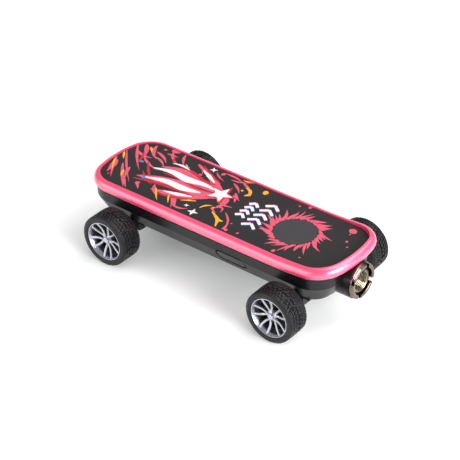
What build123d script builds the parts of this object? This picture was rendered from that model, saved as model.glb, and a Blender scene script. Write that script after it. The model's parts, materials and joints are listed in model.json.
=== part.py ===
from build123d import *
import os
from math import cos, radians, sin, tan

# A palm-size battery handle shaped like a skateboard.  Millimetres, +Z up, +X towards the
# threaded connector.  Origin: on the ground, under the middle of the whole object.

# ---------------------------------------------------------------- driving dimensions: deck
tail_overhang = 18.7        # rear axle to the tail end of the rim
wheelbase = 67.2
nose_overhang = 13.6        # front axle to the shell's nose datum
connector_reach = 3.3       # that datum to the collar's face
deck_width = 33.3
corner_radius = 10.6        # plan corners of the rim
end_bow = 3.4               # how far the ends bulge
bead_height = 4.16          # height of the half-round rim
bead_flat = 0.08            # land left between the two rounded edges
rim_wall = 2.15             # rim's outside to its upright inner wall
plate_recess = 0.4          # plate's top below the rim's crown
plate_thickness = 1.0
plate_gap = 0.1
adhesive_thickness = 0.1
ledge_thickness = 0.9
ledge_reach = 4.0           # rim's outside to the ledge's inner edge
skirt_depth = 1.6
skirt_thickness = 1.0
nose_relief = 1.2           # skirt cut back behind the shell's nose, over the connector
nose_reach = 1.9            # rim and plate past the shell's own nose
nose_lift = 2.1             # rim's rise at the nose, to clear the connector
lift_run = 25.0             # length over which it rises

# ---------------------------------------------------------------- driving dimensions: shell
shell_inset = 0.95          # shell's side inside the rim's outside
shell_wall = 1.3
floor_thickness = 1.3
shell_height = 9.59         # belly to the shell's top edge
band_height = 6.4           # belly to the edge where the side turns under
band_angle = 30.0
band_edge_round = 0.6
belly_round = 1.2
belly_above_axle = 0.6
lap_gap = 0.1

# ---------------------------------------------------------------- driving dimensions: wheels
tyre_radius = 9.0
tyre_width = 8.7
tyre_shoulder = 0.7
groove_depth = 0.25
groove_width = 0.45
rim_radius = 6.5            # tyre seat
rim_lip_radius = 6.85
rim_lip_thickness = 0.45
rim_depth = 3.4             # alloy face, from the lip inwards
rim_setback = 0.35          # lip inside the tyre's outer side
drum_wall = 0.9
core_web = 1.2
hub_radius = 2.6
spoke_pairs = 5
spoke_half_spread = 15.0
spoke_width = 0.75
spoke_depth = 1.0
spoke_setback = 0.85        # spokes below the lip
cap_radius = 1.0
hub_height = 2.3            # hub's face above the rim's back
lug_circle = 1.72
lug_hole_radius = 0.34
lug_hole_depth = 0.25
wheel_side_gap = 1.45       # rim's side to the tyre's inner side
axle_radius = 1.0
bush_wall = 0.65
running_clearance = 0.05
seat_clearance = 0.02
axial_play = 0.1
clip_thickness = 0.35
clip_width = 0.9
clip_groove = 0.25
axle_end = 0.2              # axle past the clip
washer_thickness = 0.45
washer_radius = 1.7

# ---------------------------------------------------------------- driving dimensions: trucks
truck_half_length = 5.2
truck_plate = 1.1
hanger_half_width = 2.8
hanger_drop = 3.0           # hanger's underside below the axle
hanger_taper_drop = 2.0
arm_radius = 1.65
truck_screw_x = 4.0
truck_screw_y = 4.5
truck_screw_radius = 0.7
truck_head_radius = 1.0
truck_head_height = 0.5
truck_boss_radius = 1.5
truck_boss_height = 1.2
pocket_gap = 0.1
pad_margin = 1.0

# ---------------------------------------------------------------- driving dimensions: connector
connector_above_axle = 6.35
collar_radius = 6.0         # M12 x 0.5 outer thread
collar_bore = 4.65
collar_length = 1.8
collar_shank_radius = 5.1
collar_shank = 1.2
collar_web = 0.6
slot_count = 4
slot_width = 1.5
slot_depth = 1.4
slot_angle = 68.0
sleeve_radius = 3.95
sleeve_recess = 0.8         # sleeve's mouth behind the collar's face
socket_radius = 3.23        # M7 x 0.5 thread, made plain at its minor radius
socket_depth = 5.0
sleeve_flange_radius = 4.4
sleeve_flange = 0.5
insulator_bore = 2.6        # the sleeve's rear bore
barrel_radius = 6.3
cradle_top = 2.05           # cradle's top above the connector's axis
cradle_length = 4.65        # cradle's rear face behind the nose wall's outside
ring_thickness = 0.55
ring_depth = 0.4
ring_width = 0.85
ring_to_end = 0.35
tag_thickness = 0.4
tag_radius = 4.4

# ---------------------------------------------------------------- driving dimensions: contact
pin_travel = 0.8
pin_head_radius = 1.85
pin_head = 0.55
pin_stem_radius = 0.8
pin_shoulder_radius = 1.4
pin_shoulder = 0.35
pin_tip_depth = 0.1         # pin's tip behind the socket's end
cup_clearance = 0.1
stem_clearance = 0.04
insulator_web = 1.2
insulator_flange_radius = 3.2
insulator_flange = 0.6
insulator_tube_radius = 2.3
insulator_tube = 0.8
spring_chamber_radius = 1.6
spring_radius = 1.15
spring_wire = 0.14
spring_pitch = 0.62
terminal_thickness = 0.6
lug_radius = 0.7
lug_length = 1.0

# ---------------------------------------------------------------- driving dimensions: inside
window_from_nose = 23.2
window_radius = 7.05
window_gap = 0.05
window_flange = 1.2
window_flange_thickness = 0.5
post_radius = 2.1
rear_post_y = 6.0
rear_post_from_tail = 8.7
post_floor_gap = 0.15
tab_to_flange = 0.15
tab_below_ledge = 0.8
post_to_belly_edge = 2.8   # post's centre to the belly's edge
case_screw_radius = 0.95
case_head_radius = 1.85
case_screw_length = 6.0
board_length = 22.5
board_side_gap = 2.2        # board's edge to the shell's upright wall
board_thickness = 0.8
board_above_belly = 6.8
board_post_radius = 1.6
board_post_x = 2.7          # from each end of the board
board_post_to_belly_edge = 2.6
board_screw_radius = 0.7
board_screw_length = 4.0
board_head_radius = 1.3
board_head_height = 0.7
board_to_post = 0.6
battery_end_gap = 0.7
battery_side_gap = 0.8
battery_top_gap = 0.5
battery_round = 1.5
foam_thickness = 0.7
lead_radius = 0.45
lead_bend = 0.85
module_size = 12.5
module_height = 2.5
module_gap = 0.05
header_length = 10.0
header_width = 2.5

# ---------------------------------------------------------------- driving dimensions: button, port
button_from_window = 14.2
button_length = 11.0
button_height = 3.8
button_round = 1.7
button_below_edge = 1.7     # button's centre below the side's edge
button_gap = 0.45
button_recess = 0.12        # button's face below the shell's side
button_travel = 0.4
flange_margin = 0.75
flange_thickness = 0.8
wall_gap = 0.1              # flange to the shell's inside
switch_width = 6.0
switch_height = 3.5
switch_depth = 3.3
switch_setback = 1.2        # switch's face inside the board's edge
plunger_radius = 1.0
plunger_length = 0.6
stem_radius = 1.3
port_width = 8.94
port_height = 3.2
port_depth = 7.35
port_wall = 0.3
port_gap = 0.2
port_behind_wall = 0.25
tongue_width = 6.7
tongue_thickness = 0.7
tongue_short = 0.9

# ---------------------------------------------------------------- places worked out from them
overall_length = tail_overhang + wheelbase + nose_overhang + connector_reach
tail_x = -overall_length / 2
rear_axle_x = tail_x + tail_overhang
front_axle_x = rear_axle_x + wheelbase
nose_x = front_axle_x + nose_overhang
collar_face_x = nose_x + connector_reach
deck_mid_x = (tail_x + nose_x) / 2
deck_half_length = (nose_x - tail_x) / 2
deck_half_width = deck_width / 2
lift_x = nose_x + nose_reach - lift_run
lift_radius = (lift_run ** 2 + nose_lift ** 2) / (2 * nose_lift)
axle_z = tyre_radius
belly_z = axle_z + belly_above_axle
edge_z = belly_z + band_height
shell_top_z = belly_z + shell_height
floor_z = belly_z + floor_thickness
crown_z = shell_top_z + bead_height
plate_top_z = crown_z - plate_recess
plate_under_z = plate_top_z - plate_thickness
ledge_top_z = plate_under_z - adhesive_thickness
ledge_under_z = ledge_top_z - ledge_thickness
skirt_inset = shell_inset + shell_wall + lap_gap
skirt_bottom_z = shell_top_z - skirt_depth
slope = tan(radians(band_angle))
belly_half_width = deck_half_width - shell_inset - band_height * slope
post_y = belly_half_width - post_to_belly_edge
board_post_y = belly_half_width - board_post_to_belly_edge
board_width = 2 * (deck_half_width - shell_inset - shell_wall - board_side_gap)
pocket_top_z = belly_z + truck_plate
pad_top_z = pocket_top_z + floor_thickness
boss_top_z = pad_top_z + truck_boss_height
window_x = nose_x - window_from_nose
board_front_x = window_x - 2.0
board_rear_x = board_front_x - board_length
board_mid_x = (board_front_x + board_rear_x) / 2
board_under_z = belly_z + board_above_belly
board_top_z = board_under_z + board_thickness
mid_post_x = board_rear_x - board_to_post - post_radius
front_post_x = board_front_x + board_to_post + post_radius
rear_post_x = tail_x + rear_post_from_tail
battery_rear_x = rear_post_x + post_radius + battery_end_gap
battery_front_x = mid_post_x - post_radius - battery_end_gap
battery_half_width = deck_half_width - skirt_inset - skirt_thickness - battery_side_gap
battery_bottom_z = boss_top_z + foam_thickness
battery_top_z = ledge_under_z - battery_top_gap
connector_z = axle_z + connector_above_axle
collar_seat_x = collar_face_x - collar_length
sleeve_face_x = collar_face_x - sleeve_recess
socket_end_x = sleeve_face_x - socket_depth
cradle_rear_x = nose_x - shell_inset - cradle_length
sleeve_rear_x = cradle_rear_x - ring_thickness - 0.1 - ring_to_end
tag_rear_x = sleeve_rear_x - tag_thickness
wheel_inner_y = deck_half_width + wheel_side_gap
button_x = window_x - button_from_window
button_z = edge_z - button_below_edge

os.makedirs("parts", exist_ok=True)


def save(part, name):
    """Label a finished piece and write it as its own STEP file."""
    part.label = name
    export_step(part, f"parts/{name}.step")


def outline(inset, reach=0.0):
    """The deck's plan outline, drawn in by inset all round, its nose further out by reach."""
    half_length = deck_half_length - end_bow
    with BuildSketch() as plan:
        with BuildLine():
            Line((-half_length, -deck_half_width), (half_length + reach, -deck_half_width))
            ThreePointArc((half_length + reach, -deck_half_width), (deck_half_length + reach, 0),
                          (half_length + reach, deck_half_width))
            Line((half_length + reach, deck_half_width), (-half_length, deck_half_width))
            ThreePointArc((-half_length, deck_half_width), (-deck_half_length, 0),
                          (-half_length, -deck_half_width))
        make_face()
        fillet(plan.vertices(), corner_radius)
        if inset > 0:
            offset(amount=-inset)
    return plan.sketch


def deck_plane(z):
    """A level plane centred under the deck's middle."""
    return Plane((deck_mid_x, 0, z))


def beyond(z, limit_z):
    """Cuts all from level z to limit_z; in front of lift_x that level rises with the rim."""
    end_x = collar_face_x + 1
    end_z = z + lift_radius - (lift_radius ** 2 - (end_x - lift_x) ** 2) ** 0.5
    with BuildSketch(Plane.XZ) as profile:
        with BuildLine():
            Line((tail_x - 1, z), (lift_x, z))
            TangentArc((lift_x, z), (end_x, end_z), tangent=(1, 0))
            Polyline((end_x, end_z), (end_x, limit_z), (tail_x - 1, limit_z), (tail_x - 1, z))
        make_face()
    extrude(profile.sketch, amount=deck_width, both=True, mode=Mode.SUBTRACT)


def hull(inset, bottom_z, edge_round, bottom_round):
    """The shell's outside form, or with an inset the cavity inside it."""
    with BuildPart() as body:
        with BuildSketch(deck_plane(edge_z)):
            add(outline(shell_inset + inset))
        extrude(amount=shell_top_z + nose_lift - edge_z)
        with BuildSketch(deck_plane(edge_z)):
            add(outline(shell_inset + inset))
        extrude(amount=-(edge_z - bottom_z), taper=band_angle)
        if edge_round > 0:
            fillet(body.edges().filter_by_position(Axis.Z, edge_z - 0.01, edge_z + 0.01), edge_round)
        if bottom_round > 0:
            fillet(body.faces().sort_by(Axis.Z)[0].edges(), bottom_round)
    return body.part


def along_x(x):
    """A plane across the connector's axis, facing the nose."""
    return Plane((x, 0, connector_z), x_dir=(0, 1, 0), z_dir=(1, 0, 0))


def disc(x0, x1, radius, mode=Mode.ADD):
    """A cylinder on the connector's axis between two stations."""
    with BuildSketch(along_x(x0)) as profile:
        Circle(radius)
    extrude(profile.sketch, amount=x1 - x0, mode=mode)


def upright(x, y, z0, z1, radius, mode=Mode.ADD):
    """An upright cylinder."""
    with BuildSketch(Plane((x, y, z0))) as profile:
        Circle(radius)
    extrude(profile.sketch, amount=z1 - z0, mode=mode)


def block(x0, x1, y0, y1, z0, z1, mode=Mode.ADD):
    """A rectangular block given by its lowest and highest corners."""
    with BuildSketch(Plane(((x0 + x1) / 2, (y0 + y1) / 2, z0))) as profile:
        Rectangle(x1 - x0, y1 - y0)
    extrude(profile.sketch, amount=z1 - z0, mode=mode)


def pill(side, y0, y1, length, height, rounding, x, z, mode=Mode.ADD):
    """A pill-shaped bar across one side wall, from y0 outwards to y1."""
    with BuildSketch(Plane((x, side * y0, z), x_dir=(1, 0, 0), z_dir=(0, side, 0))) as profile:
        RectangleRounded(length, height, rounding)
    extrude(profile.sketch, amount=y1 - y0, mode=mode)


case_posts = [(rear_post_x, rear_post_y), (mid_post_x, post_y), (front_post_x, post_y)]
case_posts += [(x, -y) for x, y in case_posts]
board_posts = [(x, y) for x in (board_rear_x + board_post_x, board_front_x - board_post_x)
               for y in (-board_post_y, board_post_y)]
truck_screws = [(axle + sx * truck_screw_x, sy * truck_screw_y)
                for axle in (rear_axle_x, front_axle_x) for sx in (-1, 1) for sy in (-1, 1)]

# ---------------------------------------------------------------- deck: rim, plate, adhesive
rim_relief_x = nose_x - nose_relief
tab_top_z = plate_under_z - window_flange_thickness - tab_to_flange
tab_under_z = ledge_under_z - tab_below_ledge

with BuildPart() as deck_rim:
    with BuildSketch(deck_plane(shell_top_z)):
        add(outline(0, nose_reach))
    extrude(amount=bead_height + 2 * nose_lift)
    beyond(crown_z, crown_z + 3 * nose_lift)
    beyond(shell_top_z, shell_top_z - 1)
    top_and_bottom = [face for face in deck_rim.faces() if abs(face.normal_at().Z) > 0.9]
    outer_edges = [edge for face in top_and_bottom for edge in face.edges()
                   if abs(edge.center().Y) > 0.01 or abs(edge.center().X - lift_x) > 0.01]
    fillet(outer_edges, (bead_height - bead_flat) / 2)
    with BuildSketch(deck_plane(ledge_top_z)):
        add(outline(rim_wall, nose_reach))
    extrude(amount=crown_z + nose_lift - ledge_top_z, mode=Mode.SUBTRACT)
    with BuildSketch(deck_plane(shell_top_z)):
        add(outline(skirt_inset + skirt_thickness))
    extrude(amount=ledge_under_z - shell_top_z, mode=Mode.SUBTRACT)
    with BuildSketch(deck_plane(ledge_under_z)):
        add(outline(ledge_reach))
    extrude(amount=ledge_top_z - ledge_under_z, mode=Mode.SUBTRACT)
    with BuildSketch(deck_plane(skirt_bottom_z)):
        add(outline(skirt_inset))
        add(outline(skirt_inset + skirt_thickness), mode=Mode.SUBTRACT)
    extrude(amount=ledge_under_z - skirt_bottom_z)
    with BuildSketch(deck_plane(ledge_under_z)):
        add(outline(skirt_inset))
        add(outline(ledge_reach), mode=Mode.SUBTRACT)
    extrude(amount=ledge_thickness)
    for x, y in case_posts:
        side = 1 if y > 0 else -1
        if x == rear_post_x:
            block(tail_x + ledge_reach - 0.5, x, y - post_radius, y + post_radius,
                  tab_under_z, tab_top_z)
        else:
            edge_y = side * (deck_half_width - ledge_reach + 0.5)
            block(x - post_radius, x + post_radius, min(y, edge_y), max(y, edge_y),
                  tab_under_z, tab_top_z)
        upright(x, y, floor_z + post_floor_gap, tab_top_z, post_radius)
        upright(x, y, floor_z + post_floor_gap,
                floor_z + post_floor_gap + case_screw_length, case_screw_radius + seat_clearance,
                mode=Mode.SUBTRACT)
    disc(cradle_rear_x - 2, rim_relief_x, sleeve_radius + 0.35, mode=Mode.SUBTRACT)
save(deck_rim.part, "deck_rim")

with BuildPart() as deck_plate:
    with BuildSketch(deck_plane(plate_under_z)):
        add(outline(rim_wall + plate_gap, nose_reach))
    extrude(amount=plate_thickness)
    upright(window_x, 0, plate_under_z, plate_top_z, window_radius + window_gap,
            mode=Mode.SUBTRACT)
save(deck_plate.part, "deck_plate")

with BuildPart() as plate_adhesive:
    with BuildSketch(deck_plane(ledge_top_z)):
        add(outline(rim_wall + 2 * plate_gap, nose_reach))
        add(outline(ledge_reach - plate_gap), mode=Mode.SUBTRACT)
    extrude(amount=adhesive_thickness)
save(plate_adhesive.part, "plate_adhesive")

with BuildPart() as display_window:
    upright(window_x, 0, plate_under_z - window_flange_thickness, plate_under_z,
            window_radius + window_flange)
    upright(window_x, 0, plate_under_z, plate_top_z, window_radius)
save(display_window.part, "display_window")

# ---------------------------------------------------------------- lower shell
hull_solid = hull(0, belly_z, band_edge_round, belly_round)
cavity_solid = hull(shell_wall, floor_z, 0, 0)
port_z = board_under_z - port_height / 2

with BuildPart() as lower_shell:
    add(hull_solid)
    disc(cradle_rear_x, collar_seat_x, barrel_radius)
    beyond(shell_top_z, crown_z + nose_lift)
    add(cavity_solid, mode=Mode.SUBTRACT)
    disc(cradle_rear_x, nose_x - shell_inset - shell_wall, barrel_radius)
    block(cradle_rear_x - 1, nose_x - shell_inset - shell_wall, -barrel_radius - 1,
          barrel_radius + 1, connector_z + cradle_top, crown_z, mode=Mode.SUBTRACT)
    disc(cradle_rear_x - 1, collar_seat_x, sleeve_radius + seat_clearance, mode=Mode.SUBTRACT)
    disc(collar_seat_x - collar_shank - seat_clearance, collar_seat_x,
         collar_shank_radius + seat_clearance, mode=Mode.SUBTRACT)
    for axle_x in (rear_axle_x, front_axle_x):
        pocket = truck_half_length + pocket_gap
        block(axle_x - pocket - pad_margin, axle_x + pocket + pad_margin,
              1 - belly_half_width, belly_half_width - 1, floor_z, pad_top_z)
        block(axle_x - pocket, axle_x + pocket, -deck_half_width, deck_half_width,
              0, pocket_top_z, mode=Mode.SUBTRACT)
    for x, y in truck_screws:
        upright(x, y, pad_top_z, boss_top_z, truck_boss_radius)
        upright(x, y, 0, boss_top_z - 0.3, truck_screw_radius + seat_clearance,
                mode=Mode.SUBTRACT)
    rib_x = battery_front_x - 2
    block(rib_x - 0.5, rib_x + 0.5, 1 - belly_half_width, belly_half_width - 1,
          floor_z, boss_top_z)
    for x, y in board_posts:
        upright(x, y, floor_z, board_under_z, board_post_radius)
        upright(x, y, board_under_z - board_screw_length + board_thickness, board_under_z,
                board_screw_radius + seat_clearance, mode=Mode.SUBTRACT)
    for x, y in case_posts:
        with Locations(Plane((x, y, belly_z), x_dir=(1, 0, 0), z_dir=(0, 0, -1))):
            CounterSinkHole(case_screw_radius + 0.1, case_head_radius + 0.1,
                            depth=floor_thickness + 1)
    pill(-1, belly_half_width - 3, deck_half_width, button_length + 2 * button_gap,
         button_height + 2 * button_gap, button_round + button_gap, button_x, button_z,
         mode=Mode.SUBTRACT)
    pill(1, belly_half_width - 3, deck_half_width, port_width + 2 * port_gap,
         port_height + 2 * port_gap, port_height / 2 - 0.05 + port_gap, button_x, port_z,
         mode=Mode.SUBTRACT)
save(lower_shell.part, "lower_shell")

with BuildPart() as case_screws:
    for x, y in case_posts:
        upright(x, y, belly_z, floor_z + post_floor_gap + case_screw_length - 0.4,
                case_screw_radius)
        with BuildSketch(Plane((x, y, belly_z))):
            Circle(case_head_radius)
        with BuildSketch(Plane((x, y, belly_z + case_head_radius - case_screw_radius))):
            Circle(case_screw_radius)
        loft()
save(case_screws.part, "case_screws")

# ---------------------------------------------------------------- side button and its switch
button_zone = hull(button_recess, belly_z, 0, 0)
flange_zone = hull(shell_wall + wall_gap, floor_z, 0, 0)
flange_core = hull(shell_wall + wall_gap + flange_thickness, floor_z, 0, 0)
switch_face_y = board_width / 2 - switch_setback
stem_end_y = switch_face_y + plunger_length + 0.02

with BuildPart() as button_flange:
    pill(-1, belly_half_width - 4, deck_half_width, button_length + 2 * flange_margin,
         button_height + 2 * flange_margin, button_round + flange_margin, button_x, button_z)
    add(flange_zone, mode=Mode.INTERSECT)
    add(flange_core, mode=Mode.SUBTRACT)

with BuildPart() as side_button:
    pill(-1, belly_half_width - 4, deck_half_width, button_length, button_height,
         button_round, button_x, button_z)
    add(button_zone, mode=Mode.INTERSECT)
    add(flange_core, mode=Mode.SUBTRACT)
    add(button_flange.part)
    pill(-1, stem_end_y, stem_end_y + 1.2, 2 * stem_radius, 2 * stem_radius,
         stem_radius - 0.01, button_x, button_z)
save(side_button.part, "side_button")

with BuildPart() as switch_plunger:
    pill(-1, switch_face_y - 0.8, switch_face_y + plunger_length, 2 * plunger_radius,
         2 * plunger_radius, plunger_radius - 0.01, button_x, button_z)
save(switch_plunger.part, "switch_plunger")

with BuildPart() as tact_switch:
    block(button_x - switch_width / 2, button_x + switch_width / 2,
          -switch_face_y, -switch_face_y + switch_depth,
          board_under_z - switch_height, board_under_z)
    pill(-1, switch_face_y - 0.8 - button_travel - 0.1, switch_face_y,
         2 * plunger_radius + 0.1, 2 * plunger_radius + 0.1, plunger_radius, button_x,
         button_z, mode=Mode.SUBTRACT)
save(tact_switch.part, "tact_switch")

# ---------------------------------------------------------------- board and what it carries
with BuildPart() as main_board:
    block(board_rear_x, board_front_x, -board_width / 2, board_width / 2,
          board_under_z, board_top_z)
    for x, y in board_posts:
        upright(x, y, board_under_z, board_top_z, board_screw_radius + 0.1,
                mode=Mode.SUBTRACT)
save(main_board.part, "main_board")

with BuildPart() as board_screws:
    for x, y in board_posts:
        upright(x, y, board_top_z - board_screw_length + 0.2, board_top_z,
                board_screw_radius)
        upright(x, y, board_top_z, board_top_z + board_head_height, board_head_radius)
save(board_screws.part, "board_screws")

with BuildPart() as board_chips:
    block(board_rear_x + 7, board_rear_x + 12, -6, -1, board_top_z, board_top_z + 0.9)
    block(board_rear_x + 7, board_rear_x + 11, 2, 6, board_top_z, board_top_z + 1.6)
    block(board_rear_x + 13.5, board_rear_x + 16, -1.5, 1.5, board_top_z, board_top_z + 0.8)
save(board_chips.part, "board_chips")

module_top_z = plate_under_z - window_flange_thickness - module_gap
with BuildPart() as display_module:
    block(window_x - module_size / 2, window_x + module_size / 2, -module_size / 2,
          module_size / 2, module_top_z - module_height, module_top_z)
save(display_module.part, "display_module")

header_x = board_front_x - header_width / 2 - 0.3
with BuildPart() as display_header:
    block(header_x - header_width / 2, header_x + header_width / 2, -header_length / 2,
          header_length / 2, board_top_z, module_top_z - module_height)
save(display_header.part, "display_header")

port_mouth_y = deck_half_width - shell_inset - (edge_z - port_z) * slope - shell_wall / 2
port_mouth_y = port_mouth_y - port_behind_wall
with BuildPart() as charge_port:
    pill(1, port_mouth_y - port_depth, port_mouth_y, port_width, port_height,
         port_height / 2 - 0.05, button_x, port_z)
    pill(1, port_mouth_y - port_depth + 1.0, port_mouth_y, port_width - 2 * port_wall,
         port_height - 2 * port_wall, port_height / 2 - 0.05 - port_wall, button_x, port_z,
         mode=Mode.SUBTRACT)
save(charge_port.part, "charge_port")

with BuildPart() as charge_port_tongue:
    block(button_x - tongue_width / 2, button_x + tongue_width / 2,
          port_mouth_y - port_depth + 1.0, port_mouth_y - tongue_short,
          port_z - tongue_thickness / 2, port_z + tongue_thickness / 2)
save(charge_port_tongue.part, "charge_port_tongue")

# ---------------------------------------------------------------- battery, foam and leads
with BuildPart() as battery_cell:
    block(battery_rear_x, battery_front_x, -battery_half_width, battery_half_width,
          battery_bottom_z, battery_top_z)
    fillet(battery_cell.edges().filter_by(Axis.X), battery_round)
    fillet(battery_cell.edges().filter_by(Axis.Z), battery_round)
save(battery_cell.part, "battery_cell")

with BuildPart() as battery_foam:
    block(battery_rear_x + 1, battery_front_x - 1, 2 - battery_half_width,
          battery_half_width - 2, boss_top_z, battery_bottom_z)
save(battery_foam.part, "battery_foam")


def lead(points, bend, name):
    """An insulated wire along straight runs joined by arcs."""
    with BuildPart() as wire:
        with BuildLine() as route:
            FilletPolyline(*points, radius=bend)
        start = Plane(origin=route.line @ 0, z_dir=route.line % 0)
        with BuildSketch(start):
            Circle(lead_radius)
        sweep(path=route.line)
    save(wire.part, name)


battery_lead_z = board_top_z + 1.4
for lead_y, lead_name in ((5.0, "battery_lead_positive"), (-5.0, "battery_lead_negative")):
    lead([(battery_front_x, lead_y, battery_lead_z),
          (board_rear_x + 2.0, lead_y, battery_lead_z),
          (board_rear_x + 2.0, lead_y, board_top_z)], lead_bend, lead_name)

lug_end_x = tag_rear_x - insulator_flange - insulator_tube - terminal_thickness - lug_length
tag_lead_y = -(insulator_flange_radius + tag_radius) / 2
lead_start_x = board_front_x - 2.5
lead([(lead_start_x, 0, board_under_z), (lead_start_x, 0, connector_z),
      (lug_end_x, 0, connector_z)], board_under_z - connector_z - 0.15, "output_lead")
lead([(lead_start_x, tag_lead_y, board_under_z), (lead_start_x, tag_lead_y, connector_z),
      (tag_rear_x, tag_lead_y, connector_z)], board_under_z - connector_z - 0.15, "ground_lead")

# ---------------------------------------------------------------- connector
with BuildPart() as connector_collar:
    disc(collar_seat_x, collar_face_x, collar_radius)
    disc(collar_seat_x - collar_shank, collar_seat_x, collar_shank_radius)
    disc(collar_seat_x - collar_shank + collar_web, collar_face_x, collar_bore,
         mode=Mode.SUBTRACT)
    disc(collar_seat_x - collar_shank, collar_face_x, sleeve_radius + seat_clearance,
         mode=Mode.SUBTRACT)
    with BuildSketch(along_x(collar_face_x)):
        with PolarLocations((collar_bore + collar_radius) / 2, slot_count, slot_angle):
            Rectangle(collar_radius - collar_bore + 1, slot_width)
    extrude(amount=-slot_depth, mode=Mode.SUBTRACT)
save(connector_collar.part, "connector_collar")

flange_seat_x = collar_seat_x - collar_shank + collar_web
with BuildPart() as threaded_sleeve:
    disc(sleeve_rear_x, sleeve_face_x, sleeve_radius)
    disc(flange_seat_x, flange_seat_x + sleeve_flange, sleeve_flange_radius)
    disc(socket_end_x, sleeve_face_x, socket_radius, mode=Mode.SUBTRACT)
    disc(sleeve_rear_x, socket_end_x, insulator_bore, mode=Mode.SUBTRACT)
    with BuildSketch(along_x(sleeve_rear_x + ring_to_end)):
        Circle(sleeve_radius + 1)
        Circle(sleeve_radius - ring_depth, mode=Mode.SUBTRACT)
    extrude(amount=ring_thickness + 0.1, mode=Mode.SUBTRACT)
save(threaded_sleeve.part, "threaded_sleeve")

with BuildPart() as sleeve_retaining_ring:
    ring_x = sleeve_rear_x + ring_to_end + 0.1
    with BuildSketch(along_x(ring_x)):
        Circle(sleeve_radius - ring_depth + seat_clearance + ring_width)
        Circle(sleeve_radius - ring_depth + seat_clearance, mode=Mode.SUBTRACT)
        with Locations((0, sleeve_radius)):
            Rectangle(2.2, 2 * ring_width + 1, mode=Mode.SUBTRACT)
    extrude(amount=ring_thickness)
save(sleeve_retaining_ring.part, "sleeve_retaining_ring")

with BuildPart() as ground_tag:
    disc(tag_rear_x, sleeve_rear_x, tag_radius)
    disc(tag_rear_x, sleeve_rear_x, insulator_bore + 0.05, mode=Mode.SUBTRACT)
save(ground_tag.part, "ground_tag")

cup_front_x = socket_end_x - 0.02
pin_tip_x = socket_end_x - pin_tip_depth
cup_floor_x = pin_tip_x - pin_head - pin_travel - 0.05
chamber_front_x = cup_floor_x - insulator_web
insulator_rear_x = tag_rear_x - insulator_flange - insulator_tube
with BuildPart() as pin_insulator:
    disc(tag_rear_x, cup_front_x, insulator_bore - seat_clearance)
    disc(tag_rear_x - insulator_flange, tag_rear_x, insulator_flange_radius)
    disc(insulator_rear_x, tag_rear_x, insulator_tube_radius)
    disc(cup_floor_x, cup_front_x, pin_head_radius + cup_clearance, mode=Mode.SUBTRACT)
    disc(chamber_front_x, cup_floor_x, pin_stem_radius + stem_clearance, mode=Mode.SUBTRACT)
    disc(insulator_rear_x, chamber_front_x, spring_chamber_radius, mode=Mode.SUBTRACT)
save(pin_insulator.part, "pin_insulator")

shoulder_front_x = chamber_front_x - 0.03
stem_end_x = shoulder_front_x - pin_shoulder - 0.6
with BuildPart() as contact_pin:
    disc(pin_tip_x - pin_head, pin_tip_x, pin_head_radius)
    disc(stem_end_x, pin_tip_x - pin_head, pin_stem_radius)
    disc(shoulder_front_x - pin_shoulder, shoulder_front_x, pin_shoulder_radius)
save(contact_pin.part, "contact_pin")

spring_front_x = shoulder_front_x - pin_shoulder - spring_wire - 0.02
spring_length = spring_front_x - insulator_rear_x - spring_wire - 0.02
with BuildPart() as contact_spring:
    with BuildLine() as coil:
        Helix(spring_pitch, spring_length, spring_radius,
              center=(spring_front_x - spring_length, 0, connector_z), direction=(1, 0, 0))
    with BuildSketch(Plane(origin=coil.line @ 0, z_dir=coil.line % 0)):
        Circle(spring_wire)
    sweep(path=coil.line, is_frenet=True)
save(contact_spring.part, "contact_spring")

with BuildPart() as contact_terminal:
    disc(insulator_rear_x - terminal_thickness, insulator_rear_x, insulator_tube_radius)
    disc(lug_end_x, insulator_rear_x - terminal_thickness, lug_radius)
save(contact_terminal.part, "contact_terminal")

# ---------------------------------------------------------------- trucks and axles
arm_end_y = wheel_inner_y - axial_play - washer_thickness
plate_half_width = belly_half_width + 0.2
axle_half = wheel_inner_y + tyre_width - rim_setback - rim_depth + 1.1 + 0.15
clip_y = axle_half
axle_half_length = clip_y + clip_thickness + axle_end

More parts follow.
